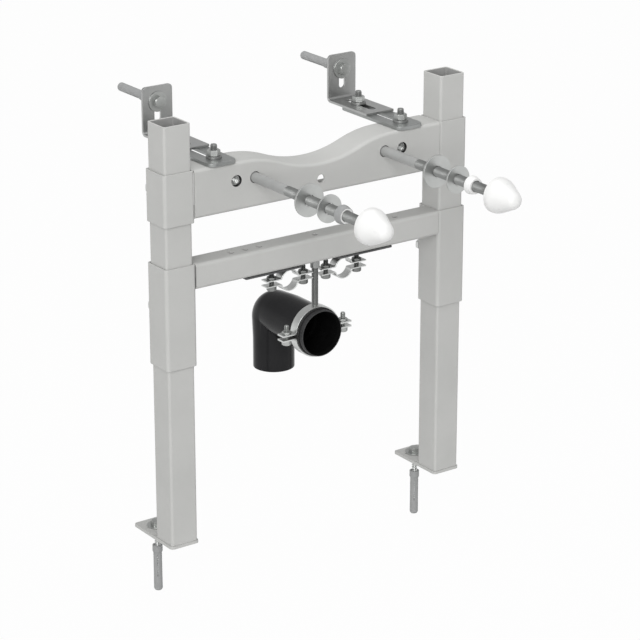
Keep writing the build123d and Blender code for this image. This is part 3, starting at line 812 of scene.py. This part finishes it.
# Bracket strips: flat steel strips, zinc plated, cut with round corners and a long slot.
# They are bolted on the beam, and the slot sets the distance to the wall.
strip_zinc = plated("strip zinc", (0.295, 0.305, 0.30), (0.335, 0.345, 0.34), 0.38, 0.85)
slot_half = 4.5 * mm
strip_slot_front = 15.0 * mm
strip_slot_back = 6.0 * mm
strip_corner = 9.0 * mm
strip_edge = 0.4 * mm
rim_run = 1.0 * mm
bracket_x = {}
for side in sides:
    name = f"{side}_bracket_strip"
    low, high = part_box(name)
    bracket_x[side] = (low[0] + high[0]) / 2
    half_x = (high[0] - low[0]) / 2
    half_y = (high[1] - low[1]) / 2
    middle_y = (low[1] + high[1]) / 2
    slot_low = low[1] + strip_slot_front
    slot_high = high[1] - strip_slot_back
    rim = [(rim_run, low[2]), (0, low[2]), (0, high[2]), (rim_run, high[2])]
    rim = eased(rim, strip_edge)[1:-1]
    inset, z = np.vstack([rim, rim[::-1], rim[:1]]).T
    is_slot = np.repeat([False, True, False], [len(rim), len(rim), 1])
    sheet_half_x = np.where(is_slot, slot_half + inset, half_x - inset)
    sheet_half_y = np.where(is_slot, (slot_high - slot_low) / 2 + inset, half_y - inset)
    sheet_corner = np.where(is_slot, slot_half + inset, strip_corner - inset)
    sheet_y = np.where(is_slot, (slot_low + slot_high) / 2, middle_y)
    strip = stacked(bracket_x[side], sheet_y, z, sheet_half_x, sheet_half_y, sheet_corner)
    piece(f"{name}_sheet", [strip], strip_zinc, "beam", "zinc-plated steel", name)

# Wall angles: slotted steel strips bent upwards at the back, zinc plated after bending.
# They are bolted on the bracket strips and screwed to the wall.
angle_zinc = plated("grey zinc", (0.40, 0.405, 0.40), (0.43, 0.435, 0.43), 0.37, 0.95)
for side in sides:
    name = f"{side}_wall_angle"
    pressed(name, f"{name}_sheet", cut_edge, angle_zinc, "beam")

# Bracket bolts: zinc-plated bolts, head down, with a washer and a nut on each strip and angle.
# The front pair holds the strips on the beam, and the rear pair the angles on the strips.
bracket_across = 13.0 * mm
bracket_nut = 7.0 * mm
nut_bore = 0.8
bracket_radius = 4.0 * mm
bracket_washer = 9.0 * mm
bracket_washer_height = 2.6 * mm
bracket_pitch = 1.25 * mm
bracket_stand = 6.0 * mm
bolt_head = 8.5 * mm
bolt_head_height = 5.0 * mm
bolt_head_rim = 1.5 * mm
bolt_head_top = bolt_head * 0.6
bolt_head_edge = 1.2 * mm
beam_bolt_y = -1.0 * mm
angle_bolt_y = 82.5 * mm
beam_sheet = 2.5 * mm
bracket_sheet = 4.0 * mm
angle_sheet = 3.0 * mm
beam_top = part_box("top_beam")[1][2]
strip_top = beam_top + bracket_sheet


def bracket_bolt(x, y, head_top, seat):
    """A round-headed bolt from below, with a washer and nut on the seat and a short free end."""
    origin = (x, y, seat)
    nut_low = bracket_washer_height
    nut_high = nut_low + bracket_nut
    under = head_top - seat
    head = [
        (0, under),
        (bolt_head, under),
        (bolt_head, under - bolt_head_rim),
        (bolt_head_top, under - bolt_head_height),
        (0, under - bolt_head_height),
    ]
    return [
        turned(head, bolt_head_edge, origin, up),
        washer(bracket_washer, bracket_radius, 0.0, nut_low, origin, up),
        hex_block(bracket_across, nut_low, nut_high, bracket_radius * nut_bore, origin, up, True),
        thread(bracket_radius, bracket_pitch, under, nut_high + bracket_stand, origin, up),
    ]


bolt_set = []
for x in bracket_x.values():
    bolt_set += bracket_bolt(x, beam_bolt_y, beam_top - beam_sheet, strip_top)
    bolt_set += bracket_bolt(x, angle_bolt_y, beam_top, strip_top + angle_sheet)
bolt_finish = [dark_zinc, oiled_zinc, dull_zinc, oiled_zinc] * 4
piece("bracket_bolt_set", bolt_set, bolt_finish, "beam", "zinc-plated steel", "bracket_bolts")

# Wall screws: the same hex screws and washers as at the feet, zinc plated.
# They go through the angles into two more nylon plugs, for the wall.
wall_slit_turn = math.radians(35.0)
wall_screws = []
wall_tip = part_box("wall_screws")[1][1]
for side in sides:
    name = f"{side}_wall_plug"
    low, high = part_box(name)
    x = (low[0] + high[0]) / 2
    z = (low[2] + high[2]) / 2
    wall_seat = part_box(f"{side}_wall_angle")[1][1] - angle_sheet
    wall_screws += hex_screw((x, wall_seat, z), wall_tip - wall_seat, to_front)
    body = plug((x, low[1], z), to_front, wall_slit_turn)
    piece(f"{name}_body", [body], nylon, "beam", "grey nylon", name)
piece("wall_screw_pair", wall_screws, screw_finish, "beam", "zinc-plated steel", "wall_screws")

# Lower bar: a square steel tube with a row of holes drilled in its top wall.
# It is welded between the lower sleeves and coated with them, but for its bare inside, whose darker
# tone is also painted shade.
bar_wall = 2.0 * mm
bar_edge = 0.4 * mm
bare_and_shade_from = 0.9 * bar_wall
bar_tube = pressed(
    "lower_bar", "lower_bar_tube", bar_edge, powder_coat, "bar").data
bar_low, bar_high = np.array(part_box("lower_bar"))[:, 1:]
face_y_z = face_values(bar_tube, "center")[:, 1:]
from_skin = np.minimum(face_y_z - bar_low, bar_high - face_y_z).min(axis=1)
# The inner faces' darker bare steel is also painted shade inside the bar, seen through its holes.
bar_tube.materials.append(bare_steel_and_shade)
bar_tube.polygons.foreach_set("material_index", (from_skin > bare_and_shade_from).astype(int))

# Clamp plates: flat steel plates, coloured near black, cut with small round corners.
# They are screwed under the bar and carry the pipe clamps.
near_black_finish = new_finish(
    "near black", (0.05, 0.05, 0.052), (0.075, 0.075, 0.076), blot=12 * mm,
    rough=(0.42, 0.6), patch=4 * mm, grain=0.9 * mm, depth=0.04 * mm)
plate_corner = 1.5 * mm
plate_edge = 0.4 * mm
least_half = 0.01 * mm


def slab(x, y, low, high, half_x, half_y, corner, edge):
    """Flat block: a rounded rectangle stacked from its low face to its high one with eased rims,
    and closed at both ends by a row that shrinks to the middle."""
    rim = eased([(half_y, low), (0.0, low), (0.0, high), (half_y, high)], edge)
    inset = np.minimum(rim[:, 0], half_y - least_half)
    corners = np.minimum(corner, half_y - inset)
    return stacked(x, y, rim[:, 1], half_x - inset, half_y - inset, corners)


for side in sides:
    name = f"{side}_clamp_plate"
    low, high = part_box(name)
    x, y, _ = (low + high) / 2
    half_x, half_y, _ = (high - low) / 2
    plate = slab(x, y, low[2], high[2], half_x, half_y, plate_corner, plate_edge)
    piece(f"{name}_sheet", [plate], near_black_finish, "bar", "dark coated steel", name)

# Water clamps: two bent steel straps for each pipe, zinc plated, with an ear at both ends.
# A screw and nut at each ear hold them together, and a pad on the crown meets the plate.
strap_edge = 0.35 * mm
strap_bend = 3.0 * mm
arc_steps = 37
bend_steps = 9
edge_steps = 4


def strap(centre, bore, band, ear, gap, width, upper):
    """Bent strap: a rounded flat section, width by band, carried along ear, arc and ear; each
    section is set square to the path, and the two ends close on its middle line."""
    radius = bore + band / 2
    rise = gap / 2 + band / 2
    start = math.asin(rise / radius)
    arc = np.linspace(math.pi - start, start, arc_steps)
    crown = np.stack([radius * np.cos(arc), radius * np.sin(arc)], axis=1)
    path = np.vstack([[(-ear, rise)], crown, [(ear, rise)]])
    left = eased(path[:3], strap_bend, bend_steps)[:-1]
    right = eased(path[-3:], strap_bend, bend_steps)[1:]
    path = np.vstack([left, path[3:-3], right])
    ahead = np.gradient(path, axis=0)
    ahead /= np.linalg.norm(ahead, axis=1, keepdims=True)
    normal = np.stack([-ahead[:, 1], ahead[:, 0]], axis=1)
    section = np.array([width / 2, band / 2, strap_edge])[:, None, None]
    across, thick = outline(*section, edge_steps)
    size = np.ones((len(path) + 2, 1))
    size[[0, -1]] = 0.0
    path = np.vstack([path[:1], path, path[-1:]])
    normal = np.vstack([normal[:1], normal, normal[-1:]])
    x = path[:, :1] + normal[:, :1] * thick * size
    y = across * size
    z = path[:, 1:] + normal[:, 1:] * thick * size
    return np.asarray(centre) + np.stack([x, y, z if upper else -z], axis=-1)


water_bore = 11.5 * mm
water_band = 1.5 * mm
water_gap = 5.3 * mm
water_ear = 32.0 * mm
water_width = 12.0 * mm
water_strap = (water_bore, water_band, water_ear, water_gap, water_width)
pad_half_x = 4.0 * mm
pad_half_y = 6.0 * mm
pad_sunk = 0.8 * mm
pad_corner = 0.5 * mm
pad_edge = 0.3 * mm
clamp_centre = {}
for side in sides:
    low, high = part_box(f"{side}_water_clamp_lower")
    x, y, _ = (low + high) / 2
    clamp_centre[side] = np.array([x, y, high[2] + water_gap / 2])
    for half in ("upper", "lower"):
        name = f"{side}_water_clamp_{half}"
        parts = [strap(clamp_centre[side], *water_strap, half == "upper")]
        if half == "upper":
            crown = clamp_centre[side][2] + water_bore + water_band - pad_sunk
            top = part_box(name)[1][2]
            parts.append(slab(x, y, crown, top, pad_half_x, pad_half_y, pad_corner, pad_edge))
        piece(f"{name}_strap", parts, zinc, "bar", "zinc-plated steel", name)

# Clamp screws: small hex screws, zinc plated, two for each water clamp.
# They go in from below and take a nut on the upper ear, with a free end above it.
clamp_radius = 3.0 * mm
clamp_pitch = 1.0 * mm
clamp_across = 10.0 * mm
clamp_head = 5.5 * mm
clamp_nut = 3.0 * mm
clamp_columns = 20
down = (0.0, 0.0, -1.0)


def clamp_screws(centre, offset, gap, band, stand):
    """The two screws of a clamp: hex head under the lower ear, nut on the upper one and a free end
    above it."""
    seat = gap / 2 + band
    bore = clamp_radius * nut_bore
    parts = []
    for way in (-1, 1):
        origin = np.asarray(centre) + (way * offset, 0.0, 0.0)
        parts += [
            hex_block(clamp_across, seat, seat + clamp_head, 0.0, origin, down),
            hex_block(clamp_across, seat, seat + clamp_nut, bore, origin, up, True),
            thread(clamp_radius, clamp_pitch, -seat, seat + stand, origin, up, clamp_columns),
        ]
    return parts


water_offset = 22.0 * mm
water_stand = 9.0 * mm
screws = []
for side in sides:
    screws += clamp_screws(clamp_centre[side], water_offset, water_gap, water_band, water_stand)
piece("water_clamp_screw_set", screws, dark_zinc, "bar", "zinc-plated steel",
      "water_clamp_screws")

# Waste clamp: a larger pair of bent zinc-plated straps of the same make, round the elbow's socket.
# It hangs on the rod in the middle of the bar and is closed by two screws with nuts.
waste_bore = 29.0 * mm
waste_band = 2.0 * mm
waste_gap = 4.0 * mm
waste_ear = 48.5 * mm
waste_width = 12.0 * mm
waste_strap = (waste_bore, waste_band, waste_ear, waste_gap, waste_width)
waste_offset = 40.0 * mm
waste_stand = 10.0 * mm
waste_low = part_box("waste_clamp_lower")[0]
waste_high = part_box("waste_clamp_upper")[1]
waste_centre = (waste_low + waste_high) / 2
for half in ("upper", "lower"):
    name = f"waste_clamp_{half}"
    body = strap(waste_centre, *waste_strap, half == "upper")
    piece(f"{name}_strap", [body], zinc, "bar", "zinc-plated steel", name)
screws = clamp_screws(waste_centre, waste_offset, waste_gap, waste_band, waste_stand)
piece("waste_clamp_screw_pair", screws, dull_zinc, "bar", "zinc-plated steel",
      "waste_clamp_screws")

# Lining: a strip of black rubber between the waste clamp and the elbow's socket.
# It is extruded with a lip along both edges and laid round inside the straps.
rubber = new_finish(
    "black rubber", (0.012, 0.012, 0.012), (0.022, 0.022, 0.022), blot=3 * mm,
    rough=(0.65, 0.85), patch=1.5 * mm, grain=0.6 * mm, depth=0.08 * mm)
low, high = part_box("waste_clamp_lining")
lining_outer = (high[0] - low[0]) / 2
lining_inner = 28.05 * mm
lining_lip = 0.5 * mm
lining_rim = lining_outer + lining_lip
lining_edge = 0.35 * mm
lining_columns = 96
lining_half = (high[1] - low[1]) / 2
lip_flat = 1.4 * mm
lip_foot = 2.0 * mm
lining = turned([
    (lining_inner, 0.0),
    (lining_inner, -lining_half),
    (lining_rim, -lining_half),
    (lining_rim, -lining_half + lip_flat),
    (lining_outer, -lining_half + lip_foot),
    (lining_outer, lining_half - lip_foot),
    (lining_rim, lining_half - lip_flat),
    (lining_rim, lining_half),
    (lining_inner, lining_half),
    (lining_inner, 0.0),
], lining_edge, waste_centre, to_wall, lining_columns)
piece("waste_clamp_lining_strip", [lining], rubber, "bar", "black rubber", "waste_clamp_lining")

# Hanger rod: a threaded steel rod, zinc plated, in a turned boss under the middle of the bar.
# Its lower end is welded on the crown of the waste clamp.
hanger_zinc = plated("hanger zinc", (0.26, 0.265, 0.26), (0.32, 0.325, 0.32), 0.42, 0.8)
low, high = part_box("hanger_rod")
hanger_top = ((low[0] + high[0]) / 2, (low[1] + high[1]) / 2, high[2])
hanger_radius = 4.0 * mm
hanger_pitch = 1.25 * mm
boss_radius = (high[0] - low[0]) / 2
boss_length = 10.0 * mm
boss_edge = 0.8 * mm
boss_section = [(0, 0), (boss_radius, 0), (boss_radius, -boss_length), (0, -boss_length)]
boss = turned(boss_section, boss_edge, hanger_top, up)
stem = thread(hanger_radius, hanger_pitch, low[2] - high[2], -boss_length / 2, hanger_top, up)
piece("hanger_rod_steel", [boss, stem], hanger_zinc, "bar", "zinc-plated steel", "hanger_rod",
      crease=thread_crease)

# Waste elbow: moulded black plastic, a socket to the front, a tight bend and a spigot down.
# The throat of the bend is a sharp crease; the socket's mouth is flared and its lip rounded.
black_plastic = new_finish(
    "black plastic", (0.016, 0.016, 0.017), (0.020, 0.020, 0.021), blot=30 * mm,
    rough=(0.09, 0.16), patch=7 * mm, grain=3.0 * mm, depth=0.03 * mm, fine=1.0, shine=0.09)
matt_plastic = new_finish(
    "matt black plastic", (0.016, 0.016, 0.017), (0.03, 0.03, 0.031), blot=2 * mm,
    rough=(0.5, 0.7), patch=1.5 * mm, grain=0.8 * mm, depth=0.08 * mm)
# The bore's near-black matt copy of the plastic is painted shade inside the socket, bend and
# spigot.
bore_painted_shade = new_finish(
    "bore painted shade", (0.002, 0.002, 0.002), (0.004, 0.004, 0.004), blot=8 * mm,
    rough=(0.9, 0.9), patch=8 * mm, grain=1.2 * mm, depth=0.05 * mm, shine=0.05)

low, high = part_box("waste_elbow")
elbow_x = (low[0] + high[0]) / 2
socket_radius = (high[0] - low[0]) / 2
socket_bore = 25.0 * mm
socket_depth = 46.0 * mm
socket_step = 1.0 * mm
socket_end = 3.0 * mm
mouth_radius = 26.8 * mm
mouth_depth = 5.0 * mm
lip_length = 6.0 * mm
body_radius = 26.0 * mm
elbow_y = high[1] - body_radius
elbow_z = high[2] - socket_radius
spigot_radius = 25.0 * mm
spigot_length = 37.0 * mm
spigot_foot = 4.0 * mm
pipe_wall = 3.0 * mm
hollow_radius = spigot_radius - pipe_wall
moulded_edge = 0.6 * mm
bend_radius = 8.0 * mm
bend_crease = 30.0
taper_length = 25.0 * mm
bend_y = elbow_y - bend_radius
bend_z = elbow_z - bend_radius
elbow_columns = 96
elbow_angle = np.linspace(0.0, 2 * math.pi, elbow_columns + 1)
elbow_angle[-1] = 0.0
across = np.cos(elbow_angle)
along = np.sin(elbow_angle)


def run_row(radius, y):
    """A ring of the socket's run: a circle about the axis that goes to the back."""
    circle = [elbow_x + radius * across, np.full(across.shape, y), elbow_z + radius * along]
    return np.stack(circle, axis=-1)


def drop_row(radius, z):
    """A ring of the spigot's drop: a circle about the axis that goes down."""
    circle = [elbow_x + radius * across, elbow_y + radius * along, np.full(across.shape, z)]
    return np.stack(circle, axis=-1)


def bend_rows(radius, steps=20):
    """The bend: a point that lies above the turning axis goes round it in a quarter circle, and a
    point below it turns at once, on the crease where the run meets the drop."""
    above = bend_radius + radius * along
    outer = np.maximum(above, 0.0)
    inner = np.minimum(above, 0.0)
    turn = np.linspace(0.0, math.pi / 2, steps)[:, None]
    x = elbow_x + radius * across + 0 * turn
    y = bend_y + inner + outer * np.sin(turn)
    z = bend_z + inner + outer * np.cos(turn)
    return np.stack([x, y, z], axis=-1)


front = low[1]
bottom = low[2]
lip = eased([
    (socket_radius, front + lip_length),
    (socket_radius, front),
    (mouth_radius, front),
], moulded_edge)
socket = eased([
    (mouth_radius, front),
    (socket_bore, front + mouth_depth),
    (socket_bore, front + socket_depth),
    (hollow_radius, front + socket_depth + socket_step),
    (hollow_radius, front + socket_depth + socket_end),
], moulded_edge)
foot = eased([
    (hollow_radius, bottom + spigot_foot),
    (hollow_radius, bottom),
    (spigot_radius, bottom),
    (spigot_radius, bottom + spigot_foot),
    (spigot_radius, bottom + spigot_length),
], moulded_edge)
lip_rows = [run_row(radius, y) for radius, y in lip]
socket_rows = [run_row(radius, y) for radius, y in socket]
foot_rows = [drop_row(radius, z) for radius, z in foot]
taper_row = run_row(socket_radius, bend_y - taper_length)
outside = np.stack([*foot_rows, *bend_rows(body_radius)[::-1], taper_row, lip_rows[0]])
inside = np.stack([*socket_rows, *bend_rows(hollow_radius), foot_rows[0]])
skins = [outside, np.stack(lip_rows), inside]
finishes = [black_plastic, matt_plastic, bore_painted_shade]
piece("waste_elbow_moulding", skins, finishes, "bar", "black plastic", "waste_elbow",
      crease=bend_crease)
